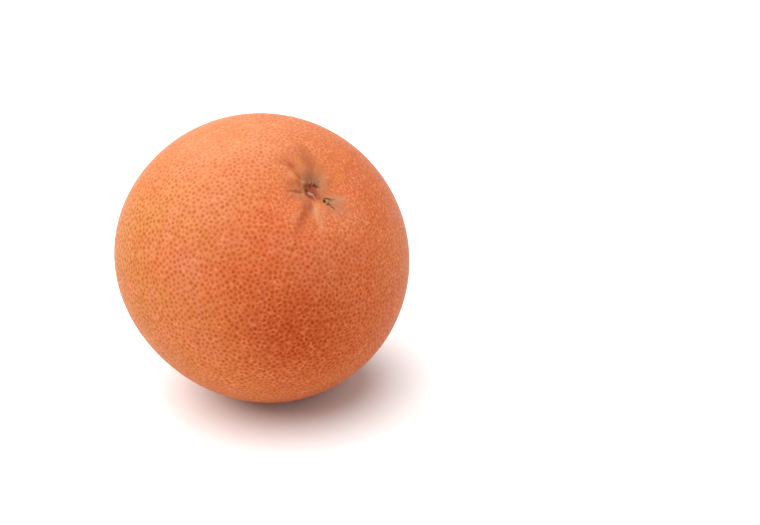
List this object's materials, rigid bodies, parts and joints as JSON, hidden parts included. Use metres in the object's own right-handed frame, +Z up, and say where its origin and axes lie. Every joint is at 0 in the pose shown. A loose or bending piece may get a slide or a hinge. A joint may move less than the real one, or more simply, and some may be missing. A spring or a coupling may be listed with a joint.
{
  "type": "red grapefruit",
  "caption": "Whole red grapefruit resting on a small flat spot, its creased stem end with the scar of the lost button turned up and to the front.",
  "frame": {"origin": "middle of the small flat spot that the fruit rests on", "axes": "+Z up as the fruit lies, -Y to the front, +X to its right seen from the front; the stem end points up, to the front and to the right"},
  "size_m": [0.1037, 0.1005, 0.0993],
  "materials": {
    "peel": "satin, waxy, closely dotted with oil glands"
  },
  "bodies": {
    "root": {"grapefruit": "peel"}
  },
  "joints": []
}
